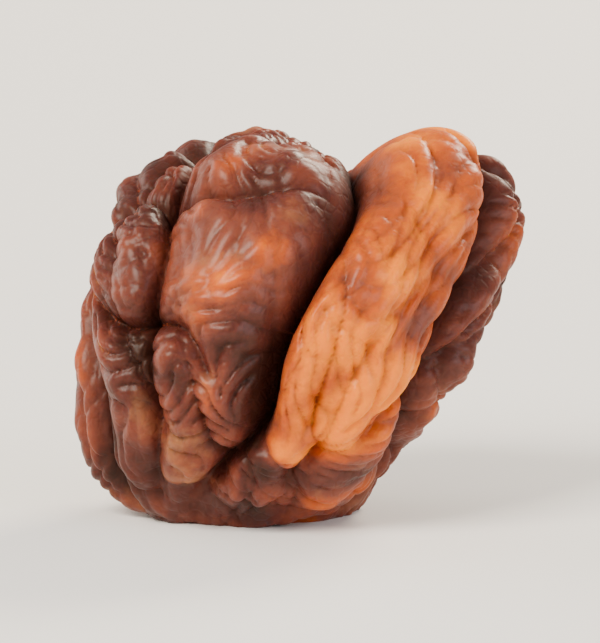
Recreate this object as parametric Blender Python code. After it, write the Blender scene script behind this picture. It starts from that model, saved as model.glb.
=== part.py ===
# One dried physalis berry, lying on a small flat spot. Blender 4.5, metres, +Z up.
# The skin is a sphere of directions whose radius is lowered by creases and wrinkles, so every
# form is worked out from latitude and longitude about the stem axis.
import math

import bmesh
import bpy
import numpy as np
from mathutils import Matrix

MM = 0.001

# Driving dimensions
BODY_RADIUS = 7.1 * MM
DRIED_SHARE = (0.90, 0.80, 0.94)       # what drying leaves across, front to back and stem to tip
STEM_TILT_BACK = math.radians(35)      # the stem end leans away from the front
STEM_LEAN = math.radians(26)           # and over to the right
FLAT_SPOT_DEPTH = 0.8 * MM             # how much of the lowest folds the flat spot takes off
GRID_STEPS = 72                        # grid squares along each side of the quad sphere
SKIN_TRIANGLES = 9600                  # what the skin is thinned to, most of them in the folds

# Smooth noise is a sum of waves, with a rate in radians of phase to a body radius, and a seed.
LUMP_HEIGHT = 0.25 * MM                # broad uneven growth
LUMP_NOISE = {"waves": 10, "rate": 2.2, "seed": 7}
WANDER = 0.07                          # share of the radius by which creases and wrinkles wander
WANDER_NOISE = [{"waves": 12, "rate": 5.0, "seed": seed} for seed in (40, 41, 42)]

# Swellings and, where the height is negative, hollows: latitude and longitude in degrees, and
# reach in radians. The stem end is at latitude 90, and longitude 0 faces the front.
SWELLINGS = [
    {"at": (48, 38), "height": 1.7 * MM, "reach": 0.30},
    {"at": (-50, -147), "height": 1.5 * MM, "reach": 0.42},
    {"at": (-32, 126), "height": 1.0 * MM, "reach": 0.35},
    {"at": (-2, 12), "height": 0.5 * MM, "reach": 0.35},
    {"at": (12, 60), "height": 0.5 * MM, "reach": 0.24},
    {"at": (42, 60), "height": 0.6 * MM, "reach": 0.24},
    {"at": (15, -62), "height": -0.6 * MM, "reach": 0.35},
    {"at": (52, -48), "height": -1.3 * MM, "reach": 0.30},
    {"at": (62, 0), "height": -1.4 * MM, "reach": 0.24},
    {"at": (38, -20), "height": -0.8 * MM, "reach": 0.22},
    {"at": (-14, 92), "height": -0.8 * MM, "reach": 0.42},
    {"at": (30, 110), "height": -0.7 * MM, "reach": 0.45},
    {"at": (-10, 150), "height": -1.2 * MM, "reach": 0.50},
    {"at": (-25, -125), "height": -0.9 * MM, "reach": 0.50},
    {"at": (45, -160), "height": -0.8 * MM, "reach": 0.40},
]

# Each crease runs through points of latitude and longitude. Its tuck is how far it runs in under
# the fold beside it for each unit of depth: the fold at its left, going along it, if positive.
CREASES = [
    {"through": [(-84, -30), (-50, 8), (-25, -3), (6, -4), (32, 1), (54, 5), (76, -15)],
     "depth": 2.5 * MM, "half_width": 2.1 * MM, "tuck": -0.35},
    {"through": [(-66, 112), (-43, 82), (-22, 58), (-3, 44), (14, 38), (42, 43), (68, 74)],
     "depth": 2.1 * MM, "half_width": 1.6 * MM, "tuck": 0.15},
    {"through": [(-74, -86), (-44, -52), (-18, -44), (8, -49), (32, -70), (56, -104)],
     "depth": 1.5 * MM, "half_width": 1.8 * MM, "tuck": 0.35},
    {"through": [(-66, -124), (-34, -92), (6, -96), (36, -120)],
     "depth": 1.9 * MM, "half_width": 2.0 * MM, "tuck": 0.3},
    {"through": [(-36, 108), (0, 88), (34, 88), (66, 112)],
     "depth": 1.7 * MM, "half_width": 2.0 * MM, "tuck": 0.4},
    {"through": [(-72, 170), (-34, 134), (10, 137), (50, 144)],
     "depth": 2.0 * MM, "half_width": 2.1 * MM, "tuck": -0.4},
    {"through": [(-36, 172), (5, 181), (45, 192), (72, 240)],
     "depth": 1.8 * MM, "half_width": 2.2 * MM, "tuck": 0.4},
    {"through": [(-70, -178), (-34, -142), (5, -147), (34, -140), (62, -160)],
     "depth": 1.8 * MM, "half_width": 2.0 * MM, "tuck": 0.3},
    # Short creases that branch between the long ones
    {"through": [(18, -8), (8, -32), (10, -60), (-2, -86)],
     "depth": 1.0 * MM, "half_width": 1.4 * MM, "tuck": 0.2},
    {"through": [(-22, -80), (-36, -62), (-32, -36), (-42, -20)],
     "depth": 1.0 * MM, "half_width": 1.3 * MM, "tuck": -0.2},
    {"through": [(40, -34), (38, -60), (26, -92)],
     "depth": 0.9 * MM, "half_width": 1.3 * MM, "tuck": 0.2},
    {"through": [(22, 44), (8, 66), (14, 96)],
     "depth": 0.9 * MM, "half_width": 1.3 * MM, "tuck": 0.2},
    {"through": [(-20, 100), (-26, 124), (-16, 150)],
     "depth": 1.0 * MM, "half_width": 1.4 * MM, "tuck": 0.2},
    {"through": [(12, -170), (18, -140), (8, -112)],
     "depth": 1.0 * MM, "half_width": 1.4 * MM, "tuck": 0.2},
    {"through": [(-54, 46), (-38, 34), (-16, 25), (6, 26)],
     "depth": 0.55 * MM, "half_width": 1.2 * MM, "tuck": -0.2},
]
SPLINE_STEPS = 4                       # between two of a crease's points
# The folds underneath are pressed together by the berry's own weight.
PRESSED_REACH = 0.42                   # radians round the lowest point
PRESSED_SHARE = 0.7                    # share of their depth that creases lose there

# Two sizes of wrinkle, which run from end to end of the berry and branch. The reach of each
# small packet of waves is in radians, and so are the wrinkles' slant from the stem axis and how
# far they turn either way of it.
WRINKLES = [
    {"spacing": 2.6 * MM, "depth": 0.60 * MM, "packets": 260, "reach": 0.24, "seed": 11,
     "slant": 0.12, "turn": 0.55, "turn_noise": {"waves": 12, "rate": 2.4, "seed": 12},
     "patch_noise": {"waves": 8, "rate": 3.2, "seed": 21}},
    {"spacing": 1.4 * MM, "depth": 0.36 * MM, "packets": 800, "reach": 0.12, "seed": 52,
     "slant": -0.25, "turn": 0.9, "turn_noise": {"waves": 12, "rate": 3.6, "seed": 53},
     "patch_noise": {"waves": 8, "rate": 3.2, "seed": 22}},
]
WRINKLING = (0.35, 1.25)               # least and most share of its depth that a wrinkle has in patches
JOINING_ROUNDS = 30                    # rounds in which neighbouring packets fall into step

# The scar where the husk was: a shallow dish with an uneven rim, and puckers running into it.
SCAR_RADIUS = 1.0 * MM
SCAR_DEPTH = 0.24 * MM
SCAR_RIM = 0.12 * MM
SCAR_HOLLOW = 1.9 * MM
SCAR_STUB = 0.08 * MM
SCAR_NOISE = {"waves": 12, "rate": 14, "seed": 61}
PUCKERS = 11
PUCKER_DEPTH = 0.34 * MM
PUCKER_NOISE = {"waves": 12, "rate": 6, "seed": 62}
TIP_DIMPLE = 0.5 * MM                  # at the other end, where the flower was
TIP_REACH = 1.2 * MM

SKIN_COLOUR = (0.42, 0.13, 0.035, 1.0)
SKIN_ROUGHNESS = 0.42


def unit(vectors):
    return vectors / np.linalg.norm(vectors, axis=-1, keepdims=True)


def on_sphere(latitude, longitude):
    """Unit direction of a latitude and longitude in degrees, with longitude 0 towards -Y."""
    lat, lon = np.radians(latitude), np.radians(longitude)
    return np.stack([np.cos(lat) * np.sin(lon), -np.cos(lat) * np.cos(lon), np.sin(lat)], -1)


def smooth_noise(points, waves, rate, seed):
    """Sum of plane waves in random directions, mostly between -1 and 1."""
    rng = np.random.default_rng(seed)
    wave = unit(rng.normal(size=(waves, 3))) * rate * rng.uniform(0.6, 1.4, (waves, 1))
    phase = rng.uniform(0, 2 * np.pi, waves)
    return np.cos(points @ wave.T + phase).sum(1) * math.sqrt(2 / waves)


def even_directions(count):
    """Directions spread evenly over the sphere on a golden spiral."""
    step = np.arange(count) + 0.5
    height = 1 - 2 * step / count
    angle = step * math.pi * (3 - math.sqrt(5))
    around = np.sqrt(1 - height * height)
    return np.stack([around * np.cos(angle), around * np.sin(angle), height], -1)


def round_shoulder(across):
    """Drop from 0 on a ridge to 1 in its crease, as a quarter circle, so that the crease is sharp."""
    return 1 - np.sqrt(1 - np.clip(across, 0, 1) ** 2)


def spline_over(through):
    """A smooth path over the sphere through a crease's points."""
    knots = on_sphere(*np.array(through, float).T)
    knots = np.vstack([2 * knots[0] - knots[1], knots, 2 * knots[-1] - knots[-2]])
    t = np.linspace(0, 1, SPLINE_STEPS, endpoint=False)[:, None]
    path = [
        (2 * b + (c - a) * t + (2 * a - 5 * b + 4 * c - d) * t**2 + (3 * b - a - 3 * c + d) * t**3) / 2
        for a, b, c, d in zip(knots, knots[1:], knots[2:], knots[3:])
    ]
    return unit(np.vstack([*path, knots[-2:-1]]))


def nearest_on(path, directions):
    """Distance to the path, how far along it from 0 to 1, and the direction across it."""
    distance = np.full(len(directions), np.inf)
    along = np.zeros(len(directions))
    across = np.zeros_like(directions)
    run = np.linalg.norm(np.diff(path, axis=0), axis=1)
    start = np.concatenate([[0], np.cumsum(run)])
    for i, (a, b) in enumerate(zip(path, path[1:])):
        t = np.clip((directions - a) @ (b - a) / run[i] ** 2, 0, 1)
        d = np.linalg.norm(directions - a - t[:, None] * (b - a), axis=1)
        nearer = d < distance
        distance[nearer] = d[nearer]
        along[nearer] = (start[i] + t[nearer] * run[i]) / start[-1]
        across[nearer] = np.cross(a, (b - a) / run[i])
    return distance, along, across


def creased(directions):
    """Drop of the skin into the creases, and how far sideways each unit of drop carries it."""
    drop = np.zeros(len(directions))
    tuck = np.zeros_like(directions)
    for crease in CREASES:
        distance, along, across = nearest_on(spline_over(crease["through"]), directions)
        away = distance * BODY_RADIUS / crease["half_width"]
        ends = np.sin(np.pi * (0.04 + 0.92 * along)) ** 0.6
        drop += crease["depth"] * ends * round_shoulder(1 - away)
        tuck += (crease["tuck"] * ends * np.exp(-(away**2)))[:, None] * across
    return drop, tuck


def wave_packets(wrinkle):
    """Centres, wave vectors and phases of small packets of waves laid all over the sphere."""
    centre = even_directions(wrinkle["packets"])
    east = unit(np.cross((0, 0, 1), centre))
    north = np.cross(centre, east)
    angle = wrinkle["slant"] + wrinkle["turn"] * smooth_noise(centre, **wrinkle["turn_noise"])
    rate = 2 * np.pi * BODY_RADIUS / wrinkle["spacing"]
    wave = rate * (np.cos(angle)[:, None] * east + np.sin(angle)[:, None] * north)
    # Each packet takes the phase that its neighbours give it, so that ridges join end to end.
    own = (centre * wave).sum(1)
    carried = (centre @ wave.T - own + own[:, None] - wave @ centre.T) / 2
    link = np.exp((centre @ centre.T - 1) / wrinkle["reach"] ** 2) * np.exp(1j * carried)
    np.fill_diagonal(link, 0)
    rng = np.random.default_rng(wrinkle["seed"])
    step = np.exp(1j * rng.uniform(-np.pi, np.pi, len(centre)))
    for _ in range(JOINING_ROUNDS):
        step = link @ step
        step /= np.abs(step)
    return centre, wave, step


def wrinkled(directions, wrinkle):
    """Drop of the skin into one size of wrinkle."""
    total = np.zeros(len(directions), complex)
    weight = np.full(len(directions), 1e-9)
    for centre, wave, step in zip(*wave_packets(wrinkle)):
        near = np.flatnonzero(directions @ centre > 1 - 4.5 * wrinkle["reach"] ** 2)
        offset = directions[near] - centre
        bell = np.exp(-(offset**2).sum(1) / (2 * wrinkle["reach"] ** 2))
        total[near] += bell * step * np.exp(1j * (offset @ wave))
        weight[near] += bell
    firmness = np.clip(1.7 * np.abs(total) / weight, 0, 1)
    patch = np.clip(0.7 + 0.5 * smooth_noise(directions, **wrinkle["patch_noise"]), *WRINKLING)
    return wrinkle["depth"] * patch * firmness * round_shoulder(np.abs(np.angle(total)) / np.pi)


def stem_tilt():
    """Rotation from the berry's own stem axis to how it lies."""
    return np.array(Matrix.Rotation(STEM_LEAN, 3, "Y") @ Matrix.Rotation(-STEM_TILT_BACK, 3, "X"))


def stem_end(directions):
    """Rise of the scar and its puckers, and how calm the folds are beside it."""
    away = np.arccos(np.clip(directions[:, 2], -1, 1)) * BODY_RADIUS
    turn = np.arctan2(directions[:, 1], directions[:, 0])
    edge = SCAR_RADIUS * (1 + 0.2 * smooth_noise(directions, **SCAR_NOISE))
    rise = -SCAR_HOLLOW * np.exp(-((away / (2.4 * SCAR_RADIUS)) ** 2))
    rise -= SCAR_DEPTH / (1 + np.exp((away - edge) / (0.1 * SCAR_RADIUS)))
    rise += SCAR_RIM * np.exp(-(((away - 1.25 * edge) / (0.3 * SCAR_RADIUS)) ** 2))
    rise += SCAR_STUB * np.exp(-((away / (0.35 * SCAR_RADIUS)) ** 4))
    beside = np.exp(-(((away - 2.1 * SCAR_RADIUS) / (0.8 * SCAR_RADIUS)) ** 2))
    wave = np.abs(np.sin(PUCKERS / 2 * turn + 0.9 * smooth_noise(directions, **PUCKER_NOISE)))
    rise -= PUCKER_DEPTH * beside * round_shoulder(1 - wave)
    calm = 0.2 + 0.8 * (1 - np.exp(-((away / (1.7 * SCAR_RADIUS)) ** 4)))
    return rise, calm


def skin(directions):
    """Place of the skin for each direction, about the berry's own centre and stem axis."""
    wander = [smooth_noise(directions, **noise) for noise in WANDER_NOISE]
    wandering = unit(directions + WANDER * np.stack(wander, -1))
    radius = BODY_RADIUS + LUMP_HEIGHT * smooth_noise(directions, **LUMP_NOISE)
    for swelling in SWELLINGS:
        away = directions - on_sphere(*swelling["at"])
        radius += swelling["height"] * np.exp(-(away**2).sum(1) / (2 * swelling["reach"] ** 2))
    drop, tuck = creased(wandering)
    for wrinkle in WRINKLES:
        drop += wrinkled(wandering, wrinkle)
    rise, calm = stem_end(directions)
    lowest = stem_tilt().T @ (0, 0, -1)
    pressed = np.exp(-((directions - lowest) ** 2).sum(1) / (2 * PRESSED_REACH**2))
    drop *= calm * (1 - PRESSED_SHARE * pressed)
    tuck *= 1 - pressed[:, None]
    tip = np.arccos(np.clip(-directions[:, 2], -1, 1)) * BODY_RADIUS / TIP_REACH
    radius += rise - TIP_DIMPLE * np.exp(-(tip**2))
    return (directions * (radius - drop)[:, None] + tuck * drop[:, None]) * DRIED_SHARE


def quad_sphere(steps):
    """A cube divided into squares and blown up to a sphere, with squares of about one size."""
    mesh = bmesh.new()
    bmesh.ops.create_cube(mesh, size=2)
    bmesh.ops.subdivide_edges(mesh, edges=mesh.edges[:], cuts=steps - 1, use_grid_fill=True)
    return mesh


def thinned(mesh):
    """The same surface with fewer triangles, and most of them where it bends most."""
    work = bpy.data.objects.new("work", mesh)
    bpy.context.scene.collection.objects.link(work)
    decimate = work.modifiers.new("decimate", "DECIMATE")
    decimate.ratio = SKIN_TRIANGLES / (2 * len(mesh.polygons))
    evaluated = work.evaluated_get(bpy.context.evaluated_depsgraph_get())
    thin = bpy.data.meshes.new_from_object(evaluated)
    bpy.data.objects.remove(work)
    return thin


def lay_down(points):
    """Tilts the berry as it lies, presses its lowest folds flat and centres it on the origin."""
    points = points @ stem_tilt().T
    points[:, 2] -= points[:, 2].min() + FLAT_SPOT_DEPTH
    points[:, 2] = np.maximum(points[:, 2], 0)
    points[:, :2] -= (points[:, :2].min(0) + points[:, :2].max(0)) / 2
    return points


def dried_skin():
    material = bpy.data.materials.new("dried_skin")
    material.use_nodes = True
    shader = material.node_tree.nodes["Principled BSDF"]
    shader.inputs["Base Color"].default_value = SKIN_COLOUR
    shader.inputs["Roughness"].default_value = SKIN_ROUGHNESS
    shader.inputs["Metallic"].default_value = 0.0
    return material


def moved(mesh, place):
    """Puts each vertex of a mesh where the function place takes it."""
    points = np.empty(len(mesh.vertices) * 3, np.float32)
    mesh.vertices.foreach_get("co", points)
    mesh.vertices.foreach_set("co", place(points.reshape(-1, 3).astype(float)).astype(np.float32).ravel())
    mesh.update()
    return mesh


def berry():
    mesh = bpy.data.meshes.new("berry_grid")
    grid = quad_sphere(GRID_STEPS)
    grid.to_mesh(mesh)
    grid.free()
    moved(mesh, lambda cube: skin(unit(np.tan(cube * np.pi / 4))))
    mesh = moved(thinned(mesh), lay_down)
    mesh.name = "berry"
    mesh.shade_smooth()
    mesh.materials.append(dried_skin())
    return bpy.data.objects.new("berry", mesh)


for old in list(bpy.data.objects):
    bpy.data.objects.remove(old)
bpy.context.scene.collection.objects.link(berry())
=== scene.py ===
import math

import bpy
import numpy as np
from mathutils import Matrix, Vector


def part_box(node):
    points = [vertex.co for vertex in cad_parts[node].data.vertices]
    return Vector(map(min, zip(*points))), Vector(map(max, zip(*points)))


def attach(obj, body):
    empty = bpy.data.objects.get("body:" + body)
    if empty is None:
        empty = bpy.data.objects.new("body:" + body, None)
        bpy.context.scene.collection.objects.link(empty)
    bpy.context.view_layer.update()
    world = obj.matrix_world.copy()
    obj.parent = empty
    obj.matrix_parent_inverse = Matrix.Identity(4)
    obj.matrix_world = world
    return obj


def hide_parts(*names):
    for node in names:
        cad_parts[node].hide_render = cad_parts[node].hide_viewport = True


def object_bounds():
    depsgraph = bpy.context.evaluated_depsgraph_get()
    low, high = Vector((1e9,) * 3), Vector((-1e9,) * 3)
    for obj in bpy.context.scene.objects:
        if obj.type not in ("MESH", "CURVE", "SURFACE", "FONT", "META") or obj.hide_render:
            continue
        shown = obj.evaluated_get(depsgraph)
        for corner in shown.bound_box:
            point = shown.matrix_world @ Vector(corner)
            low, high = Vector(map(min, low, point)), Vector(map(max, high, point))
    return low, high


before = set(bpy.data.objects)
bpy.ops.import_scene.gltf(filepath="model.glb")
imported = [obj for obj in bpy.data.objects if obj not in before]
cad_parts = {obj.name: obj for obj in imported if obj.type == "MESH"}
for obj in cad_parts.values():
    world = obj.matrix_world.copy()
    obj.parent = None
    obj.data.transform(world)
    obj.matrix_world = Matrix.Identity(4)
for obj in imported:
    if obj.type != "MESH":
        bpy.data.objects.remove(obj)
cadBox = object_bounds()

mm = 0.001

# Sizes in mm and angles in degrees. Latitude 90 is the stem end, and longitude 0 faces the front.
# What a note calls "not in the solid" is only here. The rest is as in the solid, on a finer grid.
berry = {
    "bodyRadius": 7.1,
    "driedShare": (0.90, 0.80, 0.94),      # what drying leaves across, front to back, stem to tip
    "stemTiltBack": 35,                    # the stem end leans away from the front
    "stemLean": 26,                        # and over to the right
    "flatSpotDepth": 0.8,                  # what the flat spot takes off the lowest folds
    "gridSteps": 122,                      # squares along each side of the six grids
    "lumpHeight": 0.25,
    "lumpNoise": {"waves": 10, "rate": 2.2, "seed": 7},
    "wander": 0.07,                        # share of the radius by which the folds wander
    "wanderNoise": [{"waves": 12, "rate": 5.0, "seed": seed} for seed in (40, 41, 42)],
    "pressedReach": 0.42,                  # radians round the lowest point where the folds are pressed
    "pressedShare": 0.7,
    "tipDimple": 0.5,
    "tipReach": 1.2,
    # Latitude, longitude, height (hollows are negative) and reach in radians
    "swellings": [
        (48, 38, 1.7, 0.30), (-50, -147, 1.5, 0.42), (-32, 126, 1.0, 0.35), (-2, 12, 0.5, 0.35),
        (12, 60, 0.5, 0.24), (42, 60, 0.6, 0.24), (15, -62, -0.6, 0.35), (52, -48, -1.3, 0.30),
        (62, 0, -1.4, 0.24), (38, -20, -0.8, 0.22), (-14, 92, -0.8, 0.42), (30, 110, -0.7, 0.45),
        (-10, 150, -1.2, 0.50), (-25, -125, -0.9, 0.50), (45, -160, -0.8, 0.40),
    ],
    # Depth, half width, share of the depth that it tucks in under the fold at its left, and the
    # latitudes and longitudes that it runs through. The bright fold lies between the first two.
    "creases": [
        (2.5, 2.1, -0.35, [(-84, -30), (-50, 8), (-25, -3), (6, -4), (32, 1), (54, 5), (76, -15)]),
        (2.1, 1.6, 0.15, [(-66, 112), (-43, 82), (-22, 58), (-3, 44), (14, 38), (42, 43), (68, 74)]),
        (1.5, 1.8, 0.35, [(-74, -86), (-44, -52), (-18, -44), (8, -49), (32, -70), (56, -104)]),
        (1.9, 2.0, 0.3, [(-66, -124), (-34, -92), (6, -96), (36, -120)]),
        (1.7, 2.0, 0.4, [(-36, 108), (0, 88), (34, 88), (66, 112)]),
        (2.0, 2.1, -0.4, [(-72, 170), (-34, 134), (10, 137), (50, 144)]),
        (1.8, 2.2, 0.4, [(-36, 172), (5, 181), (45, 192), (72, 240)]),
        (1.8, 2.0, 0.3, [(-70, -178), (-34, -142), (5, -147), (34, -140), (62, -160)]),
        (1.0, 1.4, 0.2, [(18, -8), (8, -32), (10, -60), (-2, -86)]),
        (1.0, 1.3, -0.2, [(-22, -80), (-36, -62), (-32, -36), (-42, -20)]),
        (0.9, 1.3, 0.2, [(40, -34), (38, -60), (26, -92)]),
        (0.9, 1.3, 0.2, [(22, 44), (8, 66), (14, 96)]),
        (1.0, 1.4, 0.2, [(-20, 100), (-26, 124), (-16, 150)]),
        (1.0, 1.4, 0.2, [(12, -170), (18, -140), (8, -112)]),
        (0.55, 1.2, -0.2, [(-54, 46), (-38, 34), (-16, 25), (6, 26)]),
    ],
    "creaseEnds": (0.04, 0.6),             # where in a half wave a crease starts, and its power
    "splineSteps": 4,
    # Wrinkles run from the stem to the tip, turned by their slant and, either way of it, their turn.
    # Their depth goes from shallow to deep patches, between the two shares that each size gives.
    "wrinkles": [
        {"spacing": 2.6, "depth": 0.60, "packets": 260, "reach": 0.24, "seed": 11,
         "slant": 0.12, "turn": 0.55, "turnNoise": {"waves": 12, "rate": 2.4, "seed": 12},
         "patchNoise": {"waves": 8, "rate": 3.2, "seed": 21}, "patches": (0.35, 1.25)},
        {"spacing": 1.4, "depth": 0.36, "packets": 800, "reach": 0.12, "seed": 52,
         "slant": -0.25, "turn": 0.9, "turnNoise": {"waves": 12, "rate": 3.6, "seed": 53},
         "patchNoise": {"waves": 8, "rate": 3.2, "seed": 22}, "patches": (0.35, 1.25)},
    ],
    # Two finer sizes with a wander of their own, not in the solid, and shallower down in the folds
    "fineWander": 0.03,
    "fineWanderNoise": [{"waves": 16, "rate": 15, "seed": seed} for seed in (44, 45, 46)],
    "fineWrinkles": [
        {"spacing": 0.62, "depth": 0.21, "packets": 3000, "reach": 0.054, "seed": 33,
         "slant": 0.5, "turn": 1.5, "turnNoise": {"waves": 12, "rate": 5.5, "seed": 34},
         "patchNoise": {"waves": 16, "rate": 7.0, "seed": 23}, "patches": (0.35, 1.3)},
        {"spacing": 0.85, "depth": 0.19, "packets": 1500, "reach": 0.08, "seed": 83,
         "slant": -0.9, "turn": 1.5, "turnNoise": {"waves": 12, "rate": 4.5, "seed": 84},
         "patchNoise": {"waves": 16, "rate": 5.0, "seed": 85}, "patches": (0.2, 1.2)},
    ],
    "fineInFolds": 0.4,                    # share of their depth left there
    "joiningRounds": 30,
    "patchMean": 0.7,                      # share of its depth that a wrinkle has on average
    "patchSwing": 0.5,                     # and how far its patches go either way of it
    "firmness": 1.7,                       # the higher, the less a wrinkle fades where ridges meet
    # The scar that the husk leaves, and puckers beside it. Their places and reaches are shares of
    # the scar's radius.
    "scar": {
        "radius": 1.0, "depth": 0.24, "edgeReach": 0.1, "edgeSwing": 0.2,
        "noise": {"waves": 12, "rate": 14, "seed": 61},
        "hollow": 1.9, "hollowReach": 2.4,
        "rim": 0.12, "rimAt": 1.25, "rimReach": 0.3,
        "stub": 0.08, "stubReach": 0.35,
        "calm": 0.2, "calmReach": 1.7,     # share of the folds left on the scar
    },
    # Rays from its middle, not in the solid
    "scarRays": {"count": 13, "height": 0.07, "swing": 1.5},
    "puckers": {
        "count": 11, "depth": 0.34, "at": 2.1, "reach": 0.8, "swing": 0.9,
        "noise": {"waves": 12, "rate": 6, "seed": 62},
    },
    # All below is not in the solid. Flat oval seeds show as low bumps on the ridges, where the skin
    # is drawn tight over them.
    "seeds": {
        "count": 230, "length": 1.7, "width": 1.3, "height": 0.17,
        "scatter": 0.11, "sizes": (0.8, 1.15), "flatTop": 1.5, "seed": 5,
    },
    "ridgeDrop": (0.3, 1.3),               # mm of drop at which a ridge begins to end, and has ended
    "fullDrop": {"crease": 2.2, "groove": 0.9, "fine": 0.25},      # mm at which the colour is full
    # The bright fold's middle line, how far it reaches and fades on either side of it in radians,
    # and over what distance it ends at the creases on its left and right
    "brightFold": {
        "through": [(-30, 23), (-6, 20), (16, 18), (36, 22), (54, 28)], "halfWidth": 0.41, "edge": 0.12,
        "leftEdge": (-0.02, 0.06), "rightEdge": (-0.01, 0.05),
    },
    # Latitude, longitude, reach in radians and how much brighter the skin is there
    "tonePatches": [
        # The patch at latitude 26, longitude 48 lifts the right rim fold, which lies in the key light's
        # shade: partly the skin's tone, partly painted light.
        (34, 20, 0.17, -0.52), (8, 15, 0.13, 0.20), (-24, 25, 0.12, -0.10), (26, 48, 0.13, 0.66),
        (12, 52, 0.10, 0.26), (-59, -32, 0.22, -0.28), (-50, -66, 0.10, 0.14), (-59, -80, 0.20, -0.26),
        (-24, -47, 0.16, 0.20), (-24, -20, 0.16, -0.08), (6, -27, 0.14, 0.08), (-54, 65, 0.20, -0.12),
        (-27, 75, 0.14, 0.08),
    ],
    # Faint streaks from the stem to the tip, drawn out by this share
    "streaks": {"drawnOut": 0.18, "noise": {"waves": 26, "rate": 24, "seed": 71}},
}


# Each vector divided by its length
def unit(vectors):
    return vectors / np.linalg.norm(vectors, axis=-1, keepdims=True)


# Unit direction of a latitude and longitude: cosine and sine products, with longitude 0 towards -Y
def onSphere(latitude, longitude):
    lat, lon = np.radians(latitude), np.radians(longitude)
    return np.stack([np.cos(lat) * np.sin(lon), -np.cos(lat) * np.cos(lon), np.sin(lat)], -1)


# Smooth noise: the sum of cosine waves in random directions, each of about the rate that is given
# in radians to a radius. It is mostly between -1 and 1.
def smoothNoise(points, waves, rate, seed):
    rng = np.random.default_rng(seed)
    wave = unit(rng.normal(size=(waves, 3))) * rate * rng.uniform(0.6, 1.4, (waves, 1))
    phase = rng.uniform(0, 2 * np.pi, waves)
    return np.cos(points @ wave.T + phase).sum(1) * math.sqrt(2 / waves)


# Directions spread evenly over the sphere: equal steps of height, each a golden angle on
def evenDirections(count):
    step = np.arange(count) + 0.5
    height = 1 - 2 * step / count
    angle = step * math.pi * (3 - math.sqrt(5))
    around = np.sqrt(1 - height * height)
    return np.stack([around * np.cos(angle), around * np.sin(angle), height], -1)


# Drop from 0 on a ridge to 1 in its crease: a quarter circle, so that the crease is sharp
def roundShoulder(across):
    return 1 - np.sqrt(1 - np.clip(across, 0, 1) ** 2)


# A bell curve of a distance, e to less its square, or with power 4 one that is flatter on top
def bellCurve(distance, reach, power=2):
    return np.exp(-((distance / reach) ** power))


# A bell curve over the sphere about one direction: e to less half the square of the distance
def bellAround(centre, directions, reach):
    return np.exp(-((directions - centre) ** 2).sum(1) / (2 * reach**2))


# From 0 to 1 between two values, level at both: three times the square less twice the cube
def smoothStep(value, low, high):
    t = np.clip((value - low) / (high - low), 0, 1)
    return t * t * (3 - 2 * t)


# A smooth path over the sphere: a cubic between each two of its points, with slopes from the next ones
def splineOver(through):
    knots = onSphere(*np.array(through, float).T)
    knots = np.vstack([2 * knots[0] - knots[1], knots, 2 * knots[-1] - knots[-2]])
    t = np.linspace(0, 1, berry["splineSteps"], endpoint=False)[:, None]
    path = [
        (2 * b + (c - a) * t + (2 * a - 5 * b + 4 * c - d) * t**2 + (3 * b - a - 3 * c + d) * t**3) / 2
        for a, b, c, d in zip(knots, knots[1:], knots[2:], knots[3:])
    ]
    return unit(np.vstack([*path, knots[-2:-1]]))


# For each direction: distance to the path, how far along it from 0 to 1, the way across it to its
# left, and the side, above 0 at the left
def nearestOn(path, directions):
    distance = np.full(len(directions), np.inf)
    along, side = np.zeros((2, len(directions)))
    across = np.zeros_like(directions)
    run = np.linalg.norm(np.diff(path, axis=0), axis=1)
    start = np.concatenate([[0], np.cumsum(run)])
    for i, (a, b) in enumerate(zip(path, path[1:])):
        left = np.cross(a, (b - a) / run[i])
        t = np.clip((directions - a) @ (b - a) / run[i] ** 2, 0, 1)
        d = np.linalg.norm(directions - a - t[:, None] * (b - a), axis=1)
        nearer = d < distance
        distance[nearer] = d[nearer]
        along[nearer] = (start[i] + t[nearer] * run[i]) / start[-1]
        across[nearer] = left
        side[nearer] = (directions[nearer] - a) @ left
    return distance, along, across, side


# Drop of the skin into the creases, a quarter circle on either side of each and a power of a sine
# along it, and how far sideways each unit of drop carries the skin
def creased(directions):
    start, power = berry["creaseEnds"]
    drop = np.zeros(len(directions))
    tuck = np.zeros_like(directions)
    for depth, halfWidth, tuckShare, through in berry["creases"]:
        distance, along, across, _ = nearestOn(splineOver(through), directions)
        away = distance * berry["bodyRadius"] / halfWidth
        ends = np.sin(np.pi * (start + (1 - 2 * start) * along)) ** power
        drop += depth * ends * roundShoulder(1 - away)
        tuck += (tuckShare * ends * np.exp(-(away**2)))[:, None] * across
    return drop, tuck


# Centres, wave vectors and phases of small packets of waves laid all over the sphere. Each packet
# takes the phase that its neighbours give it, so that ridges join end to end.
def wavePackets(wrinkle):
    centre = evenDirections(wrinkle["packets"])
    east = unit(np.cross((0, 0, 1), centre))
    north = np.cross(centre, east)
    angle = wrinkle["slant"] + wrinkle["turn"] * smoothNoise(centre, **wrinkle["turnNoise"])
    rate = 2 * np.pi * berry["bodyRadius"] / wrinkle["spacing"]
    wave = rate * (np.cos(angle)[:, None] * east + np.sin(angle)[:, None] * north)
    own = (centre * wave).sum(1)
    carried = (centre @ wave.T - own + own[:, None] - wave @ centre.T) / 2
    link = np.exp((centre @ centre.T - 1) / wrinkle["reach"] ** 2) * np.exp(1j * carried)
    np.fill_diagonal(link, 0)
    rng = np.random.default_rng(wrinkle["seed"])
    step = np.exp(1j * rng.uniform(-np.pi, np.pi, len(centre)))
    for _ in range(berry["joiningRounds"]):
        step = link @ step
        step /= np.abs(step)
    return centre, wave, step


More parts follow.
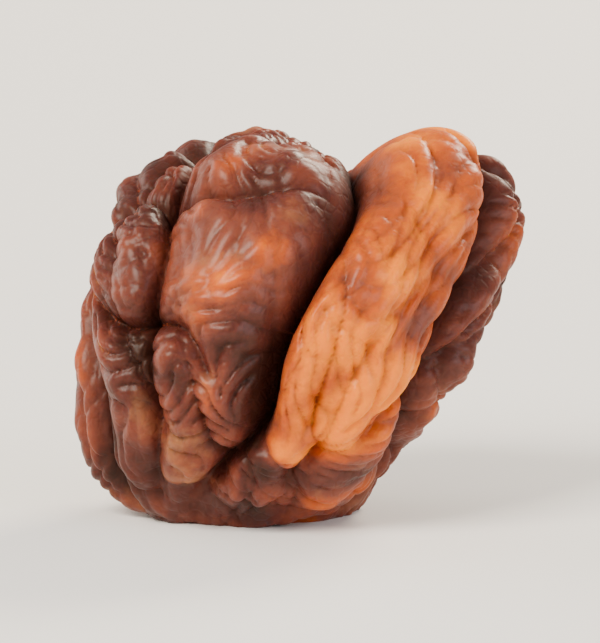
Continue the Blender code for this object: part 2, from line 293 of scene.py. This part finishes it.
# Drop of the skin into one size of wrinkle: the packets' waves are added under bell curves that
# end three reaches out, and the phase of the sum gives the place between one crease and the next
def wrinkled(directions, wrinkle):
    total = np.zeros(len(directions), complex)
    weight = np.full(len(directions), 1e-9)      # not quite 0, since the sum is divided by it
    for centre, wave, step in zip(*wavePackets(wrinkle)):
        near = np.flatnonzero(directions @ centre > 1 - (3 * wrinkle["reach"]) ** 2 / 2)
        offset = directions[near] - centre
        bell = np.exp(-(offset**2).sum(1) / (2 * wrinkle["reach"] ** 2))
        total[near] += bell * step * np.exp(1j * (offset @ wave))
        weight[near] += bell
    firm = np.clip(berry["firmness"] * np.abs(total) / weight, 0, 1)
    patch = berry["patchMean"] + berry["patchSwing"] * smoothNoise(directions, **wrinkle["patchNoise"])
    patch = np.clip(patch, *wrinkle["patches"])
    return wrinkle["depth"] * patch * firm * roundShoulder(np.abs(np.angle(total)) / np.pi)


# Rotation from the berry's own stem axis to how it lies
def stemTilt():
    return np.array(
        Matrix.Rotation(math.radians(berry["stemLean"]), 3, "Y")
        @ Matrix.Rotation(math.radians(-berry["stemTiltBack"]), 3, "X")
    )


# Rise of the skin at the stem end, how calm the folds are there, and where the dish of the scar is:
# bell curves of the distance from the stem for the hollow, rim and stub, a soft step for the dish,
# and waves around the stem for its rays and for the puckers beside it
def stemEnd(directions):
    scar, rays, puckers = berry["scar"], berry["scarRays"], berry["puckers"]
    radius = scar["radius"]
    away = np.arccos(np.clip(directions[:, 2], -1, 1)) * berry["bodyRadius"]
    turn = np.arctan2(directions[:, 1], directions[:, 0])
    noise = smoothNoise(directions, **scar["noise"])
    edge = radius * (1 + scar["edgeSwing"] * noise)
    dish = 1 / (1 + np.exp((away - edge) / (scar["edgeReach"] * radius)))
    rise = -scar["hollow"] * bellCurve(away, scar["hollowReach"] * radius) - scar["depth"] * dish
    rise += scar["rim"] * bellCurve(away - scar["rimAt"] * edge, scar["rimReach"] * radius)
    rise += scar["stub"] * bellCurve(away, scar["stubReach"] * radius, 4)
    ray = np.cos(rays["count"] * turn + rays["swing"] * noise)
    rise += rays["height"] * dish * np.clip(away / radius, 0, 1) * ray
    beside = bellCurve(away - puckers["at"] * radius, puckers["reach"] * radius)
    wave = puckers["count"] / 2 * turn + puckers["swing"] * smoothNoise(directions, **puckers["noise"])
    rise -= puckers["depth"] * beside * roundShoulder(1 - np.abs(np.sin(wave)))
    calm = scar["calm"] + (1 - scar["calm"]) * (1 - bellCurve(away, scar["calmReach"] * radius, 4))
    return rise, calm, dish


# Height of the seeds under the skin, from 0 to 1: each a flat oval bell, turned its own way
def seedBumps(directions):
    seeds = berry["seeds"]
    rng = np.random.default_rng(seeds["seed"])
    count = seeds["count"]
    centres = unit(evenDirections(count) + rng.normal(0, seeds["scatter"], (count, 3)))
    turns = rng.uniform(0, np.pi, count)
    scales = rng.uniform(*seeds["sizes"], count) / berry["bodyRadius"] / 2
    height = np.zeros(len(directions))
    for centre, turn, scale in zip(centres, turns, scales):
        near = np.flatnonzero(directions @ centre > 1 - 2 * (scale * seeds["length"]) ** 2)
        east = unit(np.cross((0, 0, 1), centre))
        north = np.cross(centre, east)
        x = (directions[near] - centre) @ (math.cos(turn) * east + math.sin(turn) * north)
        y = (directions[near] - centre) @ (math.cos(turn) * north - math.sin(turn) * east)
        oval = (x / (scale * seeds["length"])) ** 2 + (y / (scale * seeds["width"])) ** 2
        height[near] = np.maximum(height[near], np.exp(-(oval ** seeds["flatTop"])))
    return height


# How much brighter the skin is, mostly from 0 to 1: 1 right of the first crease, left of the second
# and near the middle of the fold between them, and bell curves for the patches
def brightness(directions):
    fold = berry["brightFold"]
    _, _, _, sideOfFirst = nearestOn(splineOver(berry["creases"][0][3]), directions)
    _, _, _, sideOfSecond = nearestOn(splineOver(berry["creases"][1][3]), directions)
    fromMiddle, _, _, _ = nearestOn(splineOver(fold["through"]), directions)
    between = smoothStep(-sideOfFirst, *fold["leftEdge"]) * smoothStep(sideOfSecond, *fold["rightEdge"])
    inside = 1 - smoothStep(fromMiddle, fold["halfWidth"] - fold["edge"], fold["halfWidth"] + fold["edge"])
    patches = sum(
        change * bellAround(onSphere(latitude, longitude), directions, reach)
        for latitude, longitude, reach, change in berry["tonePatches"]
    )
    return between * inside + patches


# Directions moved a little by three smooth noises, one for each axis
def wandered(base, directions, share, noises):
    return unit(base + share * np.stack([smoothNoise(directions, **noise) for noise in noises], -1))


# Places of the skin about its own centre: direction times radius, where the radius is a sphere with
# lumps and swellings, less the drop into the folds, which also carries the skin sideways. The masks
# from 0 to 1 are what the colour follows, including the painted shade in the folds.
def skin(directions):
    wandering = wandered(directions, directions, berry["wander"], berry["wanderNoise"])
    fineWandering = wandered(wandering, directions, berry["fineWander"], berry["fineWanderNoise"])
    radius = berry["bodyRadius"] + berry["lumpHeight"] * smoothNoise(directions, **berry["lumpNoise"])
    for latitude, longitude, height, reach in berry["swellings"]:
        radius += height * bellAround(onSphere(latitude, longitude), directions, reach)
    crease, tuck = creased(wandering)
    groove = sum(wrinkled(wandering, wrinkle) for wrinkle in berry["wrinkles"])
    fine = sum(wrinkled(fineWandering, wrinkle) for wrinkle in berry["fineWrinkles"])
    rise, calm, dish = stemEnd(directions)
    pressed = bellAround(stemTilt().T @ (0, 0, -1), directions, berry["pressedReach"])
    ease = calm * (1 - berry["pressedShare"] * pressed)
    tuck *= 1 - pressed[:, None]
    fromTip = np.arccos(np.clip(-directions[:, 2], -1, 1)) * berry["bodyRadius"]
    radius += rise - berry["tipDimple"] * bellCurve(fromTip, berry["tipReach"])
    drop = (crease + groove) * ease
    ridge = 1 - smoothStep(drop, *berry["ridgeDrop"])
    seed = seedBumps(directions) * ridge * calm
    fine *= ease * (berry["fineInFolds"] + (1 - berry["fineInFolds"]) * ridge)
    radius += berry["seeds"]["height"] * seed - drop - fine
    points = (directions * radius[:, None] + tuck * drop[:, None]) * berry["driedShare"]
    drawnOut = wandering * (1, 1, berry["streaks"]["drawnOut"])
    full = berry["fullDrop"]
    masks = {
        "crease": np.clip(crease * ease / full["crease"], 0, 1),
        "groove": np.clip(groove * ease / full["groove"], 0, 1),
        "fine": np.clip(fine / full["fine"], 0, 1),
        "seed": seed,
        "bright": brightness(wandering),
        "streak": 0.5 + 0.5 * smoothNoise(drawnOut, **berry["streaks"]["noise"]),
        "dish": dish,
    }
    return points, masks


# Directions of a quad sphere, whose squares are nearly one size, and its squares: the tangents of
# equal steps of angle on each side of a cube
def quadSphere(steps):
    t = np.tan(np.linspace(-np.pi / 4, np.pi / 4, steps + 1))
    u, v = np.meshgrid(t, t, indexing="ij")
    one = np.ones_like(u)
    sides = [(one, u, v), (-one, v, u), (v, one, u), (u, -one, v), (u, v, one), (v, u, -one)]
    points = unit(np.concatenate([np.stack(side, -1).reshape(-1, 3) for side in sides]))
    i, j = np.meshgrid(np.arange(steps), np.arange(steps), indexing="ij")
    corner = (i * (steps + 1) + j).ravel()
    square = np.stack([corner, corner + steps + 1, corner + steps + 2, corner + 1], -1)
    squares = np.concatenate([square + side * (steps + 1) ** 2 for side in range(6)])
    _, first, index = np.unique(np.round(points, 6), axis=0, return_index=True, return_inverse=True)
    return points[first], index.reshape(-1)[squares]


# Tilts the berry as it lies, flattens its lowest folds, and gives it the middle and the height of
# the solid's box
def laidDown(points):
    points = points @ stemTilt().T
    points[:, 2] = np.maximum(points[:, 2] - points[:, 2].min() - berry["flatSpotDepth"], 0)
    low, high = np.array(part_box("berry")) / mm
    points[:, :2] += (low[:2] + high[:2]) / 2 - (points[:, :2].min(0) + points[:, :2].max(0)) / 2
    points[:, 2] *= high[2] / points[:, 2].max()
    return points


# sRGB hex to the linear colour that a node takes
def linear(hexCode):
    channels = [int(hexCode[i:i + 2], 16) / 255 for i in (1, 3, 5)]
    return [c / 12.92 if c <= 0.04045 else ((c + 0.055) / 1.055) ** 2.4 for c in channels] + [1.0]


# The input of a name or number. Some nodes have several of one name, and only one in use.
def inputOf(node, name):
    if isinstance(name, int):
        return node.inputs[name]
    return next(socket for socket in node.inputs if socket.name == name and socket.enabled)


# Links an input to an output, or to the output in use of a node
def join(tree, source, node, name):
    if hasattr(source, "outputs"):
        source = next(socket for socket in source.outputs if socket.enabled)
    tree.links.new(source, inputOf(node, name))


# Adds a node. A setting goes to the property or the input of its name, and stops to a colour ramp.
# Each link gives an input the output, or the node, that it takes its value from.
def addNode(tree, kind, settings, links=()):
    node = tree.nodes.new(kind)
    for name, value in settings.items():
        if name == "stops":
            for place, _ in value[2:]:
                node.color_ramp.elements.new(place)
            for element, (place, colour) in zip(node.color_ramp.elements, value):
                element.position = place
                element.color = linear(colour)
        elif isinstance(name, str) and hasattr(node, name):
            setattr(node, name, value)
        else:
            inputOf(node, name).default_value = value
    for name, source in dict(links).items():
        join(tree, source, node, name)
    return node


# Dried fruit skin: amber flesh under a tough translucent skin that dried and shrank in the air. It
# gives the eye glowing ridges, creases darkened by painted shade, a sticky gloss and a dull pale bloom with
# painted sheen on what stands out.
drySkin = {
    # Colours by tone, from red-brown at 0 to amber at 1
    "stops": [(0.0, "#2C130F"), (0.26, "#52241E"), (0.5, "#773928"), (0.74, "#B04C14"), (1.0, "#E87B06")],
    # Painted shade in the creases, a little redder for the thicker flesh there
    "creaseShadeColour": "#2A0A06",
    # Pale sugar bloom on what stands out, partly painted sheen
    "bloomAndSheenColour": "#C48852",
    "scarColour": "#A8876A",
    # Mm from one patch of each noise to the next, and how many finer layers it has
    "noises": {
        "patches": (4.2, 2), "mottle": (0.8, 4), "specks": (0.22, 2), "bloom": (2.2, 5), "pores": (0.11, 3),
    },
    "noiseRoughness": 0.6,
    # Values of a noise between which it goes from none to all of what it changes
    "patchSpan": (0.32, 0.70),
    "bloomAndSheenSpan": (0.56, 0.74),
    "corkSpan": (0.30, 0.62),
    "dullSpan": (0.32, 0.68),
    "patchTone": (-0.22, 0.24),            # the darkest and the brightest patches
    "toneShares": {"mottle": 0.42, "streak": 0.16, "seed": 0.18, "specks": 0.14, "bright": 0.44},
    "foldShares": {"fine": 0.22, "groove": 0.55, "crease": 0.95},
    # Painted shade: how far a deep fold lowers the tone
    "foldShadeTone": -0.4,                      # what a deep fold takes off the tone
    # Bloom with painted sheen: how much at most, and how deep in a fold it ends
    "mostBloomAndSheen": 0.42,
    "bloomAndSheenEnds": 0.32,                     # how deep in a fold the bloom ends
    "brightAsFold": 0.4,                   # and how much of a fold the bright fold counts as for it
    "cellSize": 0.34,                      # mm across the small cushions between the finest lines
    "lineWidth": 0.22,                     # share of a cushion that the slope to a line takes
    "cellDepth": 0.012,                    # mm
    "poreDepth": 0.006,
    "roughness": (0.40, 0.62),
    "bloomRoughness": 0.35,                # what bloom, the scar and deep folds add to the roughness
    "scarRoughness": 0.3,
    "foldRoughness": 0.25,
    "IOR": 1.45,
    "subsurface": 0.45,
    "redReach": 0.55,                      # mm that red light travels inside
    "reachShares": (1.0, 0.34, 0.1),       # how far red, green and blue go of that
    "specularLevel": 0.18,
    "glossColour": "#FFD9A8",              # warm, because some of the gloss comes from just inside
    "coat": 0.33,                          # on the ridges
    "coatEnds": 0.7,                       # how deep in a fold there is none left
    "coatRoughness": 0.29,
}


def drySkinMaterial():
    material = bpy.data.materials.new("driedFruitSkin")
    material.use_nodes = True
    tree = material.node_tree
    shader = tree.nodes["Principled BSDF"]
    place = addNode(tree, "ShaderNodeTexCoord", {}).outputs["Object"]
    source = {
        name: addNode(tree, "ShaderNodeAttribute", {"attribute_name": name}).outputs["Fac"]
        for name in ("crease", "groove", "fine", "seed", "bright", "streak", "dish")
    }
    for name, (size, detail) in drySkin["noises"].items():
        settings = {"Scale": 1 / (size * mm), "Detail": detail, "Roughness": drySkin["noiseRoughness"]}
        source[name] = addNode(tree, "ShaderNodeTexNoise", settings, {"Vector": place}).outputs["Fac"]

    # How deep in a fold: the wrinkles and creases by their shares
    share = drySkin["foldShares"]
    shaded = addNode(tree, "ShaderNodeMath", {"operation": "MULTIPLY", 1: share["fine"]}, {0: source["fine"]})
    for name in ("groove", "crease"):
        shaded = addNode(tree, "ShaderNodeMath",
                         {"operation": "MULTIPLY_ADD", 1: share[name], "use_clamp": True},
                         {0: source[name], 2: shaded})

    # Tone: patches, then mottling, streaks, seeds, specks and the bright fold, less painted shade in the
    # folds
    low, high = drySkin["patchSpan"]
    darkest, brightest = drySkin["patchTone"]
    tone = addNode(tree, "ShaderNodeMapRange",
                   {"From Min": low, "From Max": high, "To Min": darkest, "To Max": brightest},
                   {"Value": source["patches"]})
    toneShares = [(source[name], share) for name, share in drySkin["toneShares"].items()]
    for value, share in [*toneShares, (shaded, drySkin["foldShadeTone"])]:
        tone = addNode(tree, "ShaderNodeMath", {"operation": "MULTIPLY_ADD", 1: share}, {0: value, 2: tone})
    colour = addNode(tree, "ShaderNodeValToRGB", {"stops": drySkin["stops"]}, {"Fac": tone})

    # Painted shade: creases are darker, and redder where the flesh is thicker, by the square of how deep they
    # are.
    dark = addNode(tree, "ShaderNodeMath", {"operation": "MULTIPLY"}, {0: shaded, 1: shaded})

    # Pale sugar bloom with painted sheen lies in patches on what stands out, and there is none on the bright
    # fold.
    proud = addNode(tree, "ShaderNodeMath", {"operation": "MULTIPLY_ADD", 1: drySkin["brightAsFold"]},
                    {0: source["bright"], 2: shaded})
    proud = addNode(tree, "ShaderNodeMapRange",
                    {"From Max": drySkin["bloomAndSheenEnds"], "To Min": 1.0, "To Max": 0.0}, {"Value": proud})
    low, high = drySkin["bloomAndSheenSpan"]
    bloom = addNode(tree, "ShaderNodeMapRange",
                    {"From Min": low, "From Max": high, "To Max": drySkin["mostBloomAndSheen"]},
                    {"Value": source["bloom"]})
    bloom = addNode(tree, "ShaderNodeMath", {"operation": "MULTIPLY"}, {0: bloom, 1: proud})

    # The scar is corky.
    low, high = drySkin["corkSpan"]
    corky = addNode(tree, "ShaderNodeMapRange", {"From Min": low, "From Max": high},
                    {"Value": source["mottle"]})
    corky = addNode(tree, "ShaderNodeMath", {"operation": "MULTIPLY"}, {0: source["dish"], 1: corky})

    # Each of the three covers the colour so far: painted crease shade, bloom with painted sheen, and the
    # scar.
    for name, cover in (("creaseShadeColour", dark), ("bloomAndSheenColour", bloom), ("scarColour", corky)):
        colour = addNode(tree, "ShaderNodeMix", {"data_type": "RGBA", "B": linear(drySkin[name])},
                         {"Factor": cover, "A": colour})

    # Gloss: duller with the mottling, bloom, scar and folds, and a coat that thins out in the folds
    low, high = drySkin["dullSpan"]
    shiny, dull = drySkin["roughness"]
    roughness = addNode(tree, "ShaderNodeMapRange",
                        {"From Min": low, "From Max": high, "To Min": shiny, "To Max": dull},
                        {"Value": source["mottle"]})
    for value, name in (
        (bloom, "bloomRoughness"), (source["dish"], "scarRoughness"), (shaded, "foldRoughness"),
    ):
        roughness = addNode(tree, "ShaderNodeMath", {"operation": "MULTIPLY_ADD", 1: drySkin[name]},
                            {0: value, 2: roughness})
    coat = addNode(tree, "ShaderNodeMapRange",
                   {"From Max": drySkin["coatEnds"], "To Min": drySkin["coat"], "To Max": 0.0},
                   {"Value": shaded})

    # Relief too fine for the mesh: small cushions with lines between them, and pores
    cells = addNode(tree, "ShaderNodeTexVoronoi",
                    {"feature": "DISTANCE_TO_EDGE", "Scale": 1 / (drySkin["cellSize"] * mm)},
                    {"Vector": place})
    cushions = addNode(tree, "ShaderNodeMapRange",
                       {"interpolation_type": "SMOOTHSTEP", "From Max": drySkin["lineWidth"]},
                       {"Value": cells})
    relief = addNode(tree, "ShaderNodeBump", {"Distance": drySkin["cellDepth"] * mm}, {"Height": cushions})
    relief = addNode(tree, "ShaderNodeBump", {"Distance": drySkin["poreDepth"] * mm},
                     {"Height": source["pores"], "Normal": relief})

    for name, node in (
        ("Base Color", colour), ("Roughness", roughness), ("Coat Weight", coat), ("Normal", relief),
    ):
        join(tree, node, shader, name)
    for socket, value in (
        ("IOR", drySkin["IOR"]),
        ("Specular IOR Level", drySkin["specularLevel"]),
        ("Specular Tint", linear(drySkin["glossColour"])),
        ("Subsurface Weight", drySkin["subsurface"]),
        ("Subsurface Radius", drySkin["reachShares"]),
        ("Subsurface Scale", drySkin["redReach"] * mm),
        ("Coat Roughness", drySkin["coatRoughness"]),
    ):
        shader.inputs[socket].default_value = value
    print("material:", len(tree.nodes), "nodes")
    return material


# The berry's mesh: the quad sphere with its points at the skin's places, and each mask as a value
# at every point for the material
def berrySkin():
    directions, squares = quadSphere(berry["gridSteps"])
    points, masks = skin(directions)
    mesh = bpy.data.meshes.new("berrySkin")
    mesh.from_pydata((laidDown(points) * mm).tolist(), [], squares.tolist())
    for name, values in masks.items():
        mesh.attributes.new(name, "FLOAT", "POINT").data.foreach_set("value", values.astype(np.float32))
    mesh.shade_smooth()
    mesh.materials.append(drySkinMaterial())
    piece = bpy.data.objects.new("berrySkin", mesh)
    bpy.context.scene.collection.objects.link(piece)
    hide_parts("berry")
    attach(piece, "root")
    print("berry skin:", len(squares) * 2, "triangles")


# Matt paper that curves up behind the berry: a flat floor, a quarter circle and a wall, in mm
stage = {
    "width": 1600, "front": 800, "back": 500, "bend": 300, "height": 700, "bendSteps": 24,
    "colour": "#F3F0EA", "roughness": 0.9, "specularLevel": 0.2,
}


def paperSweep():
    turn = np.linspace(0, np.pi / 2, stage["bendSteps"])
    wall = stage["back"] + stage["bend"]
    y = np.concatenate([[-stage["front"]], stage["back"] + stage["bend"] * np.sin(turn), [wall]])
    z = np.concatenate([[0], stage["bend"] * (1 - np.cos(turn)), [stage["height"]]])
    side = stage["width"] / 2
    points = np.concatenate([np.stack([np.full_like(y, x), y, z], -1) for x in (-side, side)]) * mm
    i = np.arange(len(y) - 1)
    squares = np.stack([i, i + len(y), i + len(y) + 1, i + 1], -1)
    mesh = bpy.data.meshes.new("paperSweep")
    mesh.from_pydata(points.tolist(), [], squares.tolist())
    mesh.shade_smooth()
    material = bpy.data.materials.new("mattPaper")
    material.use_nodes = True
    shader = material.node_tree.nodes["Principled BSDF"]
    shader.inputs["Base Color"].default_value = linear(stage["colour"])
    shader.inputs["Roughness"].default_value = stage["roughness"]
    shader.inputs["Specular IOR Level"].default_value = stage["specularLevel"]
    mesh.materials.append(material)
    sweep = bpy.data.objects.new("paperSweep", mesh)
    bpy.context.scene.collection.objects.link(sweep)
    print("paper sweep:", len(squares), "strips")


# Soft boxes: where each stands and how wide it is in mm, its power in watts and its colour
lights = {
    "keyLight": {"place": (-120, -130, 170), "size": 120, "power": 1.0, "colour": "#FFF6EA"},
    "fillLight": {"place": (190, -150, 80), "size": 160, "power": 0.4, "colour": "#EEF3FF"},
    "backLight": {"place": (90, 140, 110), "size": 70, "power": 0.5, "colour": "#FFF1DC"},
    "sideLight": {"place": (-170, 110, 60), "size": 150, "power": 0.3, "colour": "#FFF6EA"},
}
sky = {"colour": "#F4F3F1", "strength": 0.55}


def addLights(target):
    for name, light in lights.items():
        data = bpy.data.lights.new(name, "AREA")
        data.size = light["size"] * mm
        data.energy = light["power"]
        data.color = linear(light["colour"])[:3]
        lamp = bpy.data.objects.new(name, data)
        lamp.location = Vector(light["place"]) * mm
        lamp.rotation_euler = (target - lamp.location).to_track_quat("-Z", "Y").to_euler()
        bpy.context.scene.collection.objects.link(lamp)
    world = bpy.data.worlds.new("paleSky")
    world.use_nodes = True
    background = world.node_tree.nodes["Background"]
    background.inputs["Color"].default_value = linear(sky["colour"])
    background.inputs["Strength"].default_value = sky["strength"]
    bpy.context.scene.world = world
    print("lights:", ", ".join(lights))


# The camera looks slightly down from far off, so its lines of sight are nearly parallel. In degrees
# and mm.
view = {"elevation": 10, "distance": 450, "frameHeight": 18.6, "nearest": 10}


def addCamera(target):
    data = bpy.data.cameras.new("camera")
    data.sensor_fit = "VERTICAL"
    data.angle = 2 * math.atan(view["frameHeight"] / 2 / view["distance"])
    data.clip_start = view["nearest"] * mm
    camera = bpy.data.objects.new("camera", data)
    up = math.radians(view["elevation"])
    back = Vector((0, -math.cos(up), math.sin(up)))
    camera.location = target + back * view["distance"] * mm
    camera.rotation_euler = (-back).to_track_quat("-Z", "Y").to_euler()
    bpy.context.scene.collection.objects.link(camera)
    bpy.context.scene.camera = camera
    print("camera:", view["elevation"], "degrees above the floor")


berrySkin()
middle = (Vector(cadBox[0]) + Vector(cadBox[1])) / 2
paperSweep()
addLights(middle)
addCamera(middle)
